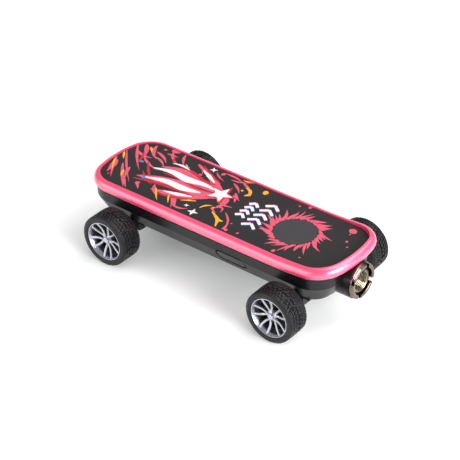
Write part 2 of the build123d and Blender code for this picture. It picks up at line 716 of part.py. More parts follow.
for place, axle_x in (("front", front_axle_x), ("rear", rear_axle_x)):
    with BuildPart() as truck:
        block(axle_x - truck_half_length, axle_x + truck_half_length, -plate_half_width,
              plate_half_width, belly_z, pocket_top_z)
        with BuildSketch(Plane((axle_x - hanger_half_width, 0, axle_z),
                               x_dir=(0, 1, 0), z_dir=(1, 0, 0))):
            with BuildLine():
                Polyline((-plate_half_width, belly_above_axle),
                         (-plate_half_width, -hanger_taper_drop),
                         (-plate_half_width + 3, -hanger_drop),
                         (plate_half_width - 3, -hanger_drop),
                         (plate_half_width, -hanger_taper_drop),
                         (plate_half_width, belly_above_axle), close=True)
            make_face()
        extrude(amount=2 * hanger_half_width)
        fillet(truck.edges().filter_by(Axis.Y).group_by(Axis.Z)[0], 0.8)
        with BuildSketch(Plane((axle_x, -arm_end_y, axle_z), x_dir=(1, 0, 0),
                               z_dir=(0, 1, 0))):
            Circle(arm_radius)
        extrude(amount=2 * arm_end_y)
        with BuildSketch(Plane((axle_x, -arm_end_y, axle_z), x_dir=(1, 0, 0),
                               z_dir=(0, 1, 0))):
            Circle(axle_radius + seat_clearance)
        extrude(amount=2 * arm_end_y, mode=Mode.SUBTRACT)
        for x, y in truck_screws:
            if abs(x - axle_x) < truck_half_length:
                upright(x, y, belly_z, pocket_top_z, truck_screw_radius + 0.1,
                        mode=Mode.SUBTRACT)
    save(truck.part, f"{place}_truck")

    with BuildPart() as axle:
        with BuildSketch(Plane((axle_x, -axle_half_length, axle_z), x_dir=(1, 0, 0),
                               z_dir=(0, 1, 0))):
            Circle(axle_radius)
        extrude(amount=2 * axle_half_length)
        for side in (-1, 1):
            with BuildSketch(Plane((axle_x, side * clip_y, axle_z), x_dir=(1, 0, 0),
                                   z_dir=(0, side, 0))):
                Circle(axle_radius + 1)
                Circle(axle_radius - clip_groove, mode=Mode.SUBTRACT)
            extrude(amount=clip_thickness, mode=Mode.SUBTRACT)
    save(axle.part, f"{place}_axle")

with BuildPart() as truck_screw_set:
    for x, y in truck_screws:
        upright(x, y, belly_z, boss_top_z - 0.5, truck_screw_radius)
        upright(x, y, belly_z - truck_head_height, belly_z, truck_head_radius)
save(truck_screw_set.part, "truck_screws")


def wheel_plane(axle_x, side, y):
    """A plane across a wheel: x and z as seen from outside, normal pointing outwards."""
    return Plane((axle_x, side * y, axle_z), x_dir=(-side, 0, 0), z_dir=(0, side, 0))


corners = [(place, hand, axle_x, side)
           for place, axle_x in (("front", front_axle_x), ("rear", rear_axle_x))
           for hand, side in (("right", -1), ("left", 1))]

with BuildPart() as axle_clips:
    for place, hand, axle_x, side in corners:
        with BuildSketch(wheel_plane(axle_x, side, clip_y + 0.02)):
            Circle(axle_radius - clip_groove + seat_clearance + clip_width)
            Circle(axle_radius - clip_groove + seat_clearance, mode=Mode.SUBTRACT)
            with Locations((0, axle_radius)):
                Rectangle(1.0, 2 * clip_width, mode=Mode.SUBTRACT)
        extrude(amount=clip_thickness - 0.04)
save(axle_clips.part, "axle_clips")

with BuildPart() as axle_washers:
    for place, hand, axle_x, side in corners:
        with BuildSketch(wheel_plane(axle_x, side, arm_end_y)):
            Circle(washer_radius)
            Circle(axle_radius + seat_clearance, mode=Mode.SUBTRACT)
        extrude(amount=washer_thickness)
save(axle_washers.part, "axle_washers")

# ---------------------------------------------------------------- wheels
# Distances along a wheel are measured outwards from the tyre's inner side.
lip_face = tyre_width - rim_setback
rim_back = lip_face - rim_depth
hub_face = rim_back + hub_height
spoke_face = lip_face - spoke_setback
clip_room = rim_back + 1.1
clip_room_radius = 1.95
clip_cover = 0.8
bush_radius = axle_radius + running_clearance + bush_wall


def turned(base, points):
    """A solid turned about a wheel's axis from (radius, distance) corners."""
    section = Plane(base.origin, x_dir=base.x_dir, z_dir=-base.y_dir)
    with BuildSketch(section) as profile:
        with BuildLine():
            Polyline(*points, close=True)
        make_face()
    revolve(profile.sketch, axis=Axis(base.origin, base.z_dir))


def tyre_section():
    """Half section of the tyre: flat tread with three grooves, rounded shoulders."""
    top = tyre_radius
    side = tyre_radius - tyre_shoulder
    cut = tyre_radius - groove_depth
    half = groove_width / 2
    points = [(rim_radius + seat_clearance, 0.3), (side, 0), (top - 0.2, 0.25),
              (top, tyre_shoulder)]
    for k in (1, 2, 3):
        middle = tyre_width * k / 4
        points += [(top, middle - half), (cut, middle - half), (cut, middle + half),
                   (top, middle + half)]
    points += [(top, tyre_width - tyre_shoulder), (top - 0.2, tyre_width - 0.25),
               (side, tyre_width), (rim_lip_radius + 0.03, tyre_width - 0.15),
               (rim_lip_radius + 0.03, lip_face - rim_lip_thickness - 0.02),
               (rim_radius + seat_clearance, lip_face - rim_lip_thickness - 0.02)]
    return points


def spoke_angle(place, hand):
    """Where the first pair of spokes stands on each wheel at rest."""
    angles = {"front_right": 32.5, "rear_right": 62.0, "front_left": 10.0, "rear_left": 47.0}
    return angles[f"{place}_{hand}"]


for place, hand, axle_x, side in corners:
    base = wheel_plane(axle_x, side, wheel_inner_y)
    corner = f"{place}_{hand}"
    with BuildPart() as tyre:
        turned(base, tyre_section())
    save(tyre.part, f"tyre_{corner}")

    with BuildPart() as core:
        turned(base, [(bush_radius + seat_clearance, 0.1), (hub_radius, 0.1),
                      (hub_radius, rim_back - core_web - 1.0),
                      (rim_radius - drum_wall, rim_back - core_web - 1.0),
                      (rim_radius - drum_wall, 0.3), (rim_radius, 0.3),
                      (rim_radius, rim_back), (rim_radius - drum_wall, rim_back),
                      (rim_radius - drum_wall, rim_back - 1.0),
                      (hub_radius, rim_back - 1.0), (hub_radius, clip_room),
                      (bush_radius + seat_clearance, clip_room)])
    save(core.part, f"wheel_core_{corner}")

    with BuildPart() as bush:
        turned(base, [(axle_radius + running_clearance, 0), (bush_radius, 0),
                      (bush_radius, clip_room), (axle_radius + running_clearance, clip_room)])
    save(bush.part, f"wheel_bush_{corner}")

    with BuildPart() as rim:
        turned(base, [(rim_radius - 0.9, rim_back), (rim_radius, rim_back),
                      (rim_radius, lip_face - rim_lip_thickness),
                      (rim_lip_radius, lip_face - rim_lip_thickness),
                      (rim_lip_radius, lip_face), (rim_radius - 0.25, lip_face)])
        turned(base, [(cap_radius + seat_clearance, clip_room + clip_cover),
                      (clip_room_radius, clip_room + clip_cover), (clip_room_radius, clip_room),
                      (hub_radius, clip_room), (hub_radius, hub_face),
                      (cap_radius + seat_clearance, hub_face)])
        with BuildSketch(base.offset(spoke_face - spoke_depth)):
            for pair in range(spoke_pairs):
                middle = spoke_angle(place, hand) + pair * 360 / spoke_pairs
                for turn in (-1, 1):
                    root = radians(middle + turn * spoke_half_spread * 0.9)
                    tip = radians(middle + turn * spoke_half_spread)
                    near = Vector(cos(root), sin(root)) * (hub_radius - 0.5)
                    far = Vector(cos(tip), sin(tip)) * (rim_radius - 0.3)
                    across = (far - near).normalized().rotate(Axis.Z, 90) * spoke_width / 2
                    with BuildLine():
                        Polyline(near - across, far - across, far + across, near + across,
                                 close=True)
                    make_face()
        extrude(amount=spoke_depth)
        with BuildSketch(base.offset(hub_face)):
            with PolarLocations(lug_circle, spoke_pairs,
                                spoke_angle(place, hand) + 180 / spoke_pairs):
                Circle(lug_hole_radius)
        extrude(amount=-lug_hole_depth, mode=Mode.SUBTRACT)
    save(rim.part, f"rim_{corner}")

    with BuildPart() as cap:
        with BuildSketch(base.offset(clip_room + 0.95)):
            Circle(cap_radius)
        extrude(amount=hub_face + 0.3 - clip_room - 0.95)
        fillet(cap.faces().sort_by(Axis(base.origin, base.z_dir))[-1].edges(), 0.2)
    save(cap.part, f"centre_cap_{corner}")
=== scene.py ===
import json
import math
import random

import bmesh
import bpy
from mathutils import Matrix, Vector


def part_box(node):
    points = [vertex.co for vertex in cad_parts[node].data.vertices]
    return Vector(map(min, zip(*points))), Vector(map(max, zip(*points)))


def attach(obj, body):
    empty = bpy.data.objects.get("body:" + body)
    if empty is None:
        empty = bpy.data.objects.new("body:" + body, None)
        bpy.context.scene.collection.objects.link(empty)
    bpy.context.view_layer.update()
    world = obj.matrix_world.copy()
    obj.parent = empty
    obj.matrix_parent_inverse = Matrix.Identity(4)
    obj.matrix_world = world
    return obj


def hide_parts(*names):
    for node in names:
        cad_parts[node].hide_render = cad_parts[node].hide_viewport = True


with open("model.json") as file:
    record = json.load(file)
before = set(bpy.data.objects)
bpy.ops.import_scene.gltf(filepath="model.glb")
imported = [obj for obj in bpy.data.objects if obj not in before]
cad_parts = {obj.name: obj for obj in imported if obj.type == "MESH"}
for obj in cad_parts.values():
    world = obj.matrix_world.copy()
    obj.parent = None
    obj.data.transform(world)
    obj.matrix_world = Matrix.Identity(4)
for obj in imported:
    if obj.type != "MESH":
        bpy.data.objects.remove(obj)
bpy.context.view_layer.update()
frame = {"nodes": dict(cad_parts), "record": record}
nodes = frame["nodes"]
MM = 0.001


# ------------------------------------------------------------------ materials
def srgb(red, green, blue):
    """A colour given in display values, 0 to 255, as linear light."""
    def linear(v):
        v /= 255
        return v / 12.92 if v <= 0.04045 else ((v + 0.055) / 1.055) ** 2.4
    return (linear(red), linear(green), linear(blue), 1.0)


def shade(colour, factor):
    return tuple(min(1.0, c * factor) for c in colour[:3]) + (1.0,)


class Finish:
    """A node material under construction: a Principled shader with object coordinates."""

    def __init__(self, name, colour, roughness, metallic=0.0, coat=0.0, coat_roughness=0.1,
                 specular=0.5):
        self.material = bpy.data.materials.new(name)
        self.material.use_nodes = True
        self.nodes = self.material.node_tree.nodes
        self.links = self.material.node_tree.links
        self.shader = self.nodes["Principled BSDF"]
        self.colour = colour
        self.shader.inputs["Base Color"].default_value = colour
        self.shader.inputs["Roughness"].default_value = roughness
        self.shader.inputs["Metallic"].default_value = metallic
        self.shader.inputs["Coat Weight"].default_value = coat
        self.shader.inputs["Coat Roughness"].default_value = coat_roughness
        self.shader.inputs["Specular IOR Level"].default_value = specular
        self.place = self.nodes.new("ShaderNodeTexCoord").outputs["Object"]

    def noise(self, size_mm, detail=3.0, stretch=(1, 1, 1)):
        """Fractal noise with features of about size_mm."""
        mapping = self.nodes.new("ShaderNodeMapping")
        mapping.inputs["Scale"].default_value = stretch
        self.links.new(self.place, mapping.inputs["Vector"])
        node = self.nodes.new("ShaderNodeTexNoise")
        node.inputs["Scale"].default_value = 1 / (size_mm * MM)
        node.inputs["Detail"].default_value = detail
        self.links.new(mapping.outputs["Vector"], node.inputs["Vector"])
        return node.outputs["Fac"]

    def cells(self, size_mm):
        """A random value for each small cell, as in metallic paint."""
        node = self.nodes.new("ShaderNodeTexVoronoi")
        node.inputs["Scale"].default_value = 1 / (size_mm * MM)
        self.links.new(self.place, node.inputs["Vector"])
        parts = self.nodes.new("ShaderNodeSeparateColor")
        self.links.new(node.outputs["Color"], parts.inputs["Color"])
        return parts.outputs["Red"]

    def spread(self, source, low, high, start=0.0, end=1.0):
        """The source's range start to end, stretched over low to high."""
        node = self.nodes.new("ShaderNodeMapRange")
        node.inputs["From Min"].default_value = start
        node.inputs["From Max"].default_value = end
        node.inputs["To Min"].default_value = low
        node.inputs["To Max"].default_value = high
        self.links.new(source, node.inputs["Value"])
        return node.outputs["Result"]

    def blend(self, factor, first, second):
        """A mix of two colours, each a constant or an output."""
        node = self.nodes.new("ShaderNodeMix")
        node.data_type = "RGBA"
        self.links.new(factor, node.inputs["Factor"])
        for socket, value in ((node.inputs["A"], first), (node.inputs["B"], second)):
            if isinstance(value, tuple):
                socket.default_value = value
            else:
                self.links.new(value, socket)
        return node.outputs["Result"]

    def add(self, first, second):
        node = self.nodes.new("ShaderNodeMath")
        node.operation = "ADD"
        self.links.new(first, node.inputs[0])
        self.links.new(second, node.inputs[1])
        return node.outputs["Value"]

    def to(self, output, socket):
        self.links.new(output, self.shader.inputs[socket])

    def bump(self, height, depth_mm, strength=1.0):
        node = self.nodes.new("ShaderNodeBump")
        node.inputs["Distance"].default_value = depth_mm * MM
        node.inputs["Strength"].default_value = strength
        self.links.new(height, node.inputs["Height"])
        self.to(node.outputs["Normal"], "Normal")


def plain_finish(name, colour, roughness, metallic=0.0, blotch_mm=5.0, vary=0.08, grain_mm=0.2,
                 depth_mm=0.004, rough_vary=0.12, stretch=(1, 1, 1), wear=0.0, wear_mm=1.6, **more):
    """Colour blotches, fine grain in roughness and height, and worn patches."""
    f = Finish(name, colour, roughness, metallic, **more)
    tone = f.spread(f.noise(blotch_mm), 0, 1, 0.3, 0.7)
    result = f.blend(tone, shade(colour, 1 - vary), shade(colour, 1 + vary))
    grain = f.noise(grain_mm, 4.0, stretch)
    rough = f.spread(grain, roughness - rough_vary / 2, roughness + rough_vary / 2, 0.25, 0.75)
    if wear:
        patch = f.spread(f.noise(wear_mm, 6.0), 0, wear, 0.58, 0.72)
        result = f.blend(patch, result, shade(colour, 1.7))
        rough = f.add(rough, f.spread(patch, 0, 0.15, 0, 1))
    f.to(result, "Base Color")
    f.to(rough, "Roughness")
    f.bump(grain, depth_mm)
    return f.material


def metallic_paint():
    """Satin pink: fine flakes in a coloured base under a soft clear coat."""
    pink = srgb(253, 44, 104)
    f = Finish("rim_pink", pink, 0.42, 0.4, coat=1.0, coat_roughness=0.34)
    f.shader.inputs["Coat IOR"].default_value = 2.1
    flakes = f.cells(0.05)
    cloud = f.noise(6.0)
    base = f.blend(f.spread(cloud, 0, 1, 0.3, 0.7), shade(pink, 0.96), shade(pink, 1.03))
    f.to(f.blend(f.spread(flakes, 0, 0.12, 0.4, 1.0), base, srgb(255, 130, 170)), "Base Color")
    wear = f.noise(0.5, 5.0)
    f.to(f.add(f.spread(flakes, 0.38, 0.44), f.spread(wear, 0, 0.06, 0.55, 0.8)), "Roughness")
    f.bump(f.noise(0.16, 2.0), 0.0006, 0.5)
    return f.material


def printed_film():
    """Fine-grained warm black film."""
    black = srgb(36, 33, 34)
    f = Finish("plate_print", black, 0.5, specular=0.22)
    grain = f.noise(0.16, 3.0)
    tone = f.blend(f.spread(f.noise(9.0), 0, 1, 0.3, 0.7), shade(black, 0.92), shade(black, 1.08))
    f.to(f.blend(f.spread(grain, 0, 0.5, 0.52, 0.75), tone, srgb(54, 50, 52)), "Base Color")
    f.to(f.spread(grain, 0.42, 0.62, 0.3, 0.7), "Roughness")
    f.bump(grain, 0.008)
    return f.material


def rubber():
    """Black rubber with a little dust and a mould's fine grain."""
    black = srgb(15, 14, 17)
    f = Finish("tyre", black, 0.5, specular=0.35)
    dust = f.spread(f.noise(1.4, 6.0), 0, 0.55, 0.5, 0.72)
    tone = f.blend(f.noise(4.0), shade(black, 0.8), shade(black, 1.2))
    f.to(f.blend(dust, tone, srgb(27, 25, 29)), "Base Color")
    grain = f.noise(0.12, 3.0)
    f.to(f.spread(grain, 0.36, 0.62, 0.3, 0.7), "Roughness")
    f.bump(grain, 0.006)
    return f.material


def ink(name, colour, other=None):
    """Screen-printed ink over the film: small density changes and the film's grain."""
    f = Finish(name, colour, 0.5, specular=0.4)
    density = f.spread(f.noise(1.1, 5.0), 0, 1, 0.35, 0.65)
    second = other or shade(colour, 0.9)
    base = f.blend(density, second, colour)
    speck = f.spread(f.noise(0.14, 2.0), 0, 0.18, 0.62, 0.75)
    f.to(f.blend(speck, base, shade(colour, 0.45)), "Base Color")
    grain = f.noise(0.16, 3.0)
    f.to(f.spread(grain, 0.42, 0.6, 0.3, 0.7), "Roughness")
    f.bump(grain, 0.006)
    return f.material


def smoked_window():
    """Smooth dark window with a slightly greyer, glossier face."""
    grey = srgb(58, 55, 59)
    f = Finish("window", grey, 0.3, specular=0.25)
    f.to(f.blend(f.noise(3.5), shade(grey, 0.93), shade(grey, 1.07)), "Base Color")
    f.to(f.spread(f.noise(1.5, 3.0), 0.28, 0.36, 0.3, 0.7), "Roughness")
    f.bump(f.noise(2.5, 1.0), 0.0004)
    return f.material


shell_black = srgb(11, 9, 14)
FINISHES = {
    "rim_pink": metallic_paint(),
    "plate_print": printed_film(),
    "window": smoked_window(),
    "tyre": rubber(),
    "adhesive": plain_finish("adhesive", srgb(205, 204, 196), 0.7, grain_mm=0.3),
    "module": plain_finish("module", srgb(26, 26, 27), 0.5),
    "shell": plain_finish("shell", shell_black, 0.33, blotch_mm=8, grain_mm=0.11, depth_mm=0.004,
                          vary=0.06, specular=0.35, wear=0.08, wear_mm=1.2),
    "button": plain_finish("button", srgb(18, 16, 22), 0.33, specular=0.4, grain_mm=0.11, depth_mm=0.004,
                           vary=0.05, wear=0.1, wear_mm=0.9),
    "switch": plain_finish("switch", srgb(48, 48, 50), 0.55),
    "plunger": plain_finish("plunger", srgb(150, 40, 34), 0.4),
    "board": plain_finish("board", srgb(22, 92, 56), 0.3, blotch_mm=2, grain_mm=0.5),
    "chips": plain_finish("chips", srgb(32, 32, 34), 0.5),
    "steel": plain_finish("steel", srgb(190, 190, 194), 0.3, 1.0, grain_mm=0.3, vary=0.06,
                          stretch=(1, 6, 6), depth_mm=0.002),
    "black_screw": plain_finish("black_screw", srgb(40, 40, 43), 0.38, 0.7, vary=0.1,
                                wear=0.3, wear_mm=0.5),
    "brass": plain_finish("brass", srgb(214, 178, 110), 0.3, 1.0, vary=0.08, depth_mm=0.002),
    "nickel": plain_finish("nickel", srgb(114, 100, 94), 0.15, 1.0, blotch_mm=2.5, vary=0.1,
                           grain_mm=0.25, depth_mm=0.0012, rough_vary=0.12),
    "insulator": plain_finish("insulator", srgb(205, 198, 182), 0.5, grain_mm=0.3),
    "battery": plain_finish("battery", srgb(120, 130, 150), 0.35, 0.4, grain_mm=0.8),
    "foam": plain_finish("foam", srgb(54, 54, 56), 0.9, grain_mm=0.25, depth_mm=0.04),
    "lead_red": plain_finish("lead_red", srgb(180, 30, 30), 0.45),
    "lead_black": plain_finish("lead_black", srgb(30, 30, 32), 0.45),
    "truck": plain_finish("truck", srgb(34, 34, 37), 0.4, 0.3, grain_mm=0.15, wear=0.15),
    "core": plain_finish("core", srgb(10, 10, 11), 0.7, grain_mm=0.2),
    "alloy": plain_finish("alloy", srgb(184, 184, 192), 0.24, 0.95, blotch_mm=2.2, vary=0.1,
                          grain_mm=0.16, depth_mm=0.0012, rough_vary=0.14),
}
slot_of = {row["node"]: row["material_slot"] for row in frame["record"]["subparts"]}
for node_name, node in nodes.items():
    node.data.materials.clear()
    node.data.materials.append(FINISHES[slot_of[node_name]])


# ------------------------------------------------------------------ mesh helpers
def outward_mesh(name, points, faces):
    """Mesh data from points in millimetres, with its faces turned outwards."""
    mesh = bpy.data.meshes.new(name)
    mesh.from_pydata([Vector(p) * MM for p in points], [], faces)
    work = bmesh.new()
    work.from_mesh(mesh)
    bmesh.ops.recalc_face_normals(work, faces=work.faces)
    work.to_mesh(mesh)
    work.free()
    return mesh


def make(name, points, faces, material, body, replaced=(), sharp=35.0):
    """A closed piece in the row frame, riding with a body."""
    mesh = outward_mesh(name, points, faces)
    mesh.shade_smooth()
    mesh.set_sharp_from_angle(angle=math.radians(sharp))
    piece = bpy.data.objects.new(name, mesh)
    bpy.context.scene.collection.objects.link(piece)
    mesh.materials.append(material)
    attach(piece, body)
    if replaced:
        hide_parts(*replaced)
    return piece


class Mesh:
    """Points and faces being gathered for one piece."""

    def __init__(self):
        self.points = []
        self.faces = []

    def ring_strip(self, rings, close_rings=True):
        """Joins rings of equal length; the last joins the first, or both are capped."""
        first = len(self.points)
        count = len(rings[0])
        for ring in rings:
            self.points.extend(ring)
        spans = len(rings) if close_rings else len(rings) - 1
        for r in range(spans):
            a = first + (r % len(rings)) * count
            b = first + ((r + 1) % len(rings)) * count
            for k in range(count):
                n = (k + 1) % count
                self.faces.append((a + k, a + n, b + n, b + k))
        if not close_rings:
            self.faces.append(tuple(range(first + count - 1, first - 1, -1)))
            end = first + (len(rings) - 1) * count
            self.faces.append(tuple(range(end, end + count)))


def carve(piece, tool, operation="DIFFERENCE"):
    """Cuts a piece with a scratch object, or keeps what lies inside it; the tool is used up."""
    bpy.context.scene.collection.objects.link(tool)
    step = piece.modifiers.new("carve", "BOOLEAN")
    step.operation = operation
    step.object = tool
    step.solver = "EXACT"
    step.use_self = True
    bpy.context.view_layer.update()
    evaluated = piece.evaluated_get(bpy.context.evaluated_depsgraph_get())
    result = bpy.data.meshes.new_from_object(evaluated)
    piece.modifiers.clear()
    old = piece.data
    piece.data = result
    bpy.data.meshes.remove(old)
    bpy.data.objects.remove(tool)


def scratch(mesh):
    """A mesh as an object that isn't in the scene yet."""
    return bpy.data.objects.new("scratch", outward_mesh("scratch", mesh.points, mesh.faces))


# ------------------------------------------------------------------ wheels
def wheel_point(corner, radius, angle, out):
    """A wheel's own coordinates: angle as seen from outside, out from the tyre's inner side."""
    x, y, z, side = corner
    return (x - side * radius * math.cos(angle), side * (y + out), z + radius * math.sin(angle))


def turned(mesh, corner, section, segments):
    """A closed section of (radius, out) turned about the wheel's axis."""
    rings = []
    for k in range(segments):
        angle = 2 * math.pi * k / segments
        rings.append([wheel_point(corner, r, angle, out) for r, out in section])
    mesh.ring_strip(rings)


TYRE_RADIUS = 9.0
TYRE_WIDTH = 8.7
TREAD_BASE = 8.3            # the blocks start inside the carcass
TREAD_PITCHES = 34          # rows of blocks round the tyre
BLOCK_CHAMFER = 0.08        # height of the chamfer on a block
BLOCK_INSET = 0.07          # width of the same chamfer
SHOULDER_DROP = 0.2         # how far the tread curves down at its sides
LIP_OUT = 8.35
RIM_DEPTH = 3.4


def tread_block(mesh, corner, outline, base, top):
    """One tread block: outline in (along the tread, out), chamfered on top."""
    count = len(outline)
    middle = (sum(u for u, v in outline) / count, sum(v for u, v in outline) / count)
    rings = []
    for radius, pull in ((base, 0.0), (top - BLOCK_CHAMFER, 0.0), (top, BLOCK_INSET)):
        ring = []
        for u, v in outline:
            du, dv = middle[0] - u, middle[1] - v
            size = math.hypot(du, dv)
            sideways = abs(v - TYRE_WIDTH / 2) / (TYRE_WIDTH / 2)
            crown = SHOULDER_DROP * sideways ** 5 if radius > base else 0
            ring.append(wheel_point(corner, radius - crown, (u + du / size * pull) / TYRE_RADIUS,
                                    v + dv / size * pull))
        rings.append(ring)
    mesh.ring_strip(rings, close_rings=False)


def tyre(name, corner, body):
    """Carcass with rounded shoulders, and rows of slanted tread blocks."""
    mesh = Mesh()
    section = [(6.53, 0.3), (7.2, 0.1), (7.9, 0.05), (8.35, 0.14), (8.62, 0.38), (8.68, 0.75),
               (8.66, 1.3), (8.5, 2.0), (8.5, 6.7), (8.66, 7.4), (8.68, 7.95), (8.62, 8.32),
               (8.4, 8.53), (8.1, 8.64), (7.7, 8.69), (7.35, 8.66),
               (7.1, 8.58), (6.92, 8.45), (6.88, 8.3), (6.88, 7.88), (6.53, 7.88)]
    turned(mesh, corner, section, 144)
    rng = random.Random(name)
    pitches = [rng.choice((0.85, 1.0, 1.18)) for _ in range(TREAD_PITCHES)]
    scale = 2 * math.pi * TYRE_RADIUS / sum(pitches)
    start = 0.0
    for pitch in pitches:
        size = pitch * scale
        for mirror in (0, 1):
            shift = 0.45 * size * mirror

            def block(corners):
                outline = [(start + shift + u * size, TYRE_WIDTH - v if mirror else v)
                           for u, v in corners]
                tread_block(mesh, corner, outline, TREAD_BASE, TYRE_RADIUS)

            # shoulder: two slanted lugs
            block([(0.08, 0.5), (0.42, 0.5), (0.56, 1.1), (0.72, 1.8), (0.36, 1.85), (0.2, 1.1)])
            block([(0.57, 0.5), (0.93, 0.5), (1.06, 1.1), (1.2, 1.65), (0.88, 1.75), (0.7, 1.1)])
            # middle: hooked blocks with slanted grooves between them
            block([(0.42, 2.1), (0.82, 2.02), (1.0, 2.6), (0.78, 3.0), (0.52, 2.7)])
            block([(0.96, 1.95), (1.24, 1.9), (1.42, 2.5), (1.3, 2.95), (1.14, 2.6)])
            block([(0.68, 3.3), (0.95, 3.0), (1.2, 3.3), (1.34, 4.15), (0.98, 4.15)])
            block([(1.3, 3.2), (1.46, 2.9), (1.58, 3.3), (1.56, 4.15), (1.48, 4.15)])
        start += size
    make(name, mesh.points, mesh.faces, FINISHES["tyre"], body, [name], 30)


SPOKE_PAIRS = 5
PAIR_ANGLE = 360 / SPOKE_PAIRS
SPOKE_START = 1.3
SPOKE_LENGTH = 5.05
SPOKE_STEPS = 20
HUB_RADIUS = 2.15
LUG_CIRCLE = 1.75
LUG_RADIUS = 0.5


def alloy_rim(name, corner, body, phase):
    """Lip, tapered barrel wall, five forked spokes dished in to a small hub with lug holes."""
    mesh = Mesh()
    back = LIP_OUT - RIM_DEPTH
    turned(mesh, corner, [
        (6.5, back), (6.5, 7.88), (6.84, 7.9), (6.85, 8.2), (6.8, 8.31), (6.68, 8.35),
        (6.58, 8.33), (6.5, 8.22), (6.44, 8.05), (6.36, 7.9), (6.24, 7.7), (5.95, 6.5),
        (5.72, back + 0.25), (5.66, back)], 144)
    turned(mesh, corner, [
        (1.02, 5.6), (1.02, 6.98), (1.07, 7.02), (1.16, 7.0), (1.3, 6.8), (2.0, 6.6),
        (HUB_RADIUS, 6.45), (HUB_RADIUS, 5.6)], 72)
    for pair in range(SPOKE_PAIRS):
        middle = math.radians(phase + pair * PAIR_ANGLE)
        for turn in (-1, 1):
            rings = []
            for k in range(SPOKE_STEPS + 1):
                t = k / SPOKE_STEPS
                radius = SPOKE_START + t * SPOKE_LENGTH
                spread = max(0.0, t - 0.12) / 0.88
                offset = turn * (0.2 + 1.75 * spread ** 0.75 - 0.45 * spread ** 3)
                width = 0.3 + 0.13 * min(1.0, t * 3) - 0.03 * math.sin(math.pi * t)
                face = 6.98 - 0.1 * math.sin(math.pi * min(1, t * 1.6)) + 1.0 * t ** 2
                deep = 1.1 - 0.3 * t
                angle = middle + math.asin(max(-1, min(1, offset / radius)))
                ring = []
                for side, drop in ((-1, deep), (-1, 0.2), (-0.66, 0.05), (0, 0), (0.66, 0.05),
                                   (1, 0.2), (1, deep)):
                    bend = math.asin(max(-1, min(1, side * width / radius)))
                    ring.append(wheel_point(corner, radius, angle + bend, face - drop))
                rings.append(ring)
            mesh.ring_strip(rings, close_rings=False)
    piece = make(name, mesh.points, mesh.faces, FINISHES["alloy"], body, [name], 32)
    lugs = Mesh()
    for pair in range(SPOKE_PAIRS):
        middle = math.radians(phase + (pair + 0.5) * PAIR_ANGLE)
        rings = []
        for out, radius in ((5.9, LUG_RADIUS), (6.6, LUG_RADIUS), (7.3, LUG_RADIUS * 1.5)):
            ring = []
            for k in range(16):
                a = 2 * math.pi * k / 16
                across = radius * math.cos(a)
                along = LUG_CIRCLE + radius * math.sin(a)
                size = math.hypot(along, across)
                ring.append(wheel_point(corner, size, middle + math.atan2(across, along), out))
            rings.append(ring)
        lugs.ring_strip(rings, close_rings=False)
    carve(piece, scratch(lugs))


WHEELS = {"front_right": 32.5, "rear_right": 62.0, "front_left": 10.0, "rear_left": 47.0}
for corner_name, phase in WHEELS.items():
    low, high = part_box("tyre_" + corner_name)
    side = 1 if low.y > 0 else -1
    inner = min(abs(low.y), abs(high.y)) / MM
    corner = ((low.x + high.x) / 2 / MM, inner, (low.z + high.z) / 2 / MM, side)
    body = "wheel_" + corner_name
    tyre("tyre_" + corner_name, corner, body)
    alloy_rim("rim_" + corner_name, corner, body, phase)


# ------------------------------------------------------------------ threaded connector
THREAD_PITCH = 0.5
THREAD_STEP = THREAD_PITCH / 8
COLLAR_RADIUS = 6.0
COLLAR_ROOT = 5.72          # bottom of the collar's thread
COLLAR_LENGTH = 1.8         # from its seat to its face
SHANK_RADIUS = 5.1          # the part behind the seat
COLLAR_BORE = 4.65
COLLAR_WEB = 0.6            # rear wall, which the sleeve's flange bears on
SLOT_COUNT = 4
SLOT_PHASE = 68
SLOT_WIDTH = 1.5
SLOT_DEPTH = 1.4
SLEEVE_RADIUS = 3.95
FLANGE_RADIUS = 4.4
FLANGE_DEPTH = 0.5
SOCKET_CREST = 3.23
SOCKET_ROOT = 3.56
SOCKET_MOUTH = 3.5
SOCKET_DEPTH = 5.0
REAR_BORE = 2.6
collar_low, collar_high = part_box("connector_collar")
sleeve_low, sleeve_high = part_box("threaded_sleeve")
AXIS_Z = (collar_low.z + collar_high.z) / 2 / MM
COLLAR_REAR = collar_low.x / MM
COLLAR_FACE = collar_high.x / MM
COLLAR_SEAT = COLLAR_FACE - COLLAR_LENGTH
SLEEVE_REAR = sleeve_low.x / MM
SLEEVE_FACE = sleeve_high.x / MM


def screw_ridge(x, angle, crest, root, start, end):
    """Radius of a thread's flank at a place, running out to the root's level at both ends."""
    phase = ((x / THREAD_PITCH) - angle / (2 * math.pi)) % 1.0
    height = max(0.0, 1 - abs(phase - 0.5) / 0.42) ** 0.8
    fade = max(0.0, min(1.0, (x - start) / 0.3, (end - x) / 0.2))
    return root + (crest - root) * height * fade


def turned_along_x(mesh, outer, inner, segments):
    """A tube about the socket's axis; each side is a list of (x, radius at an angle)."""
    rings = []
    for k in range(segments):
        angle = 2 * math.pi * k / segments
        ring = []
        for x, radius in outer + inner[::-1]:
            r = radius(x, angle) if callable(radius) else radius
            ring.append((x, r * math.cos(angle), AXIS_Z + r * math.sin(angle)))
        rings.append(ring)
    mesh.ring_strip(rings)


def stations(start, end, step):
    count = max(1, round((end - start) / step))
    return [start + (end - start) * k / count for k in range(count + 1)]


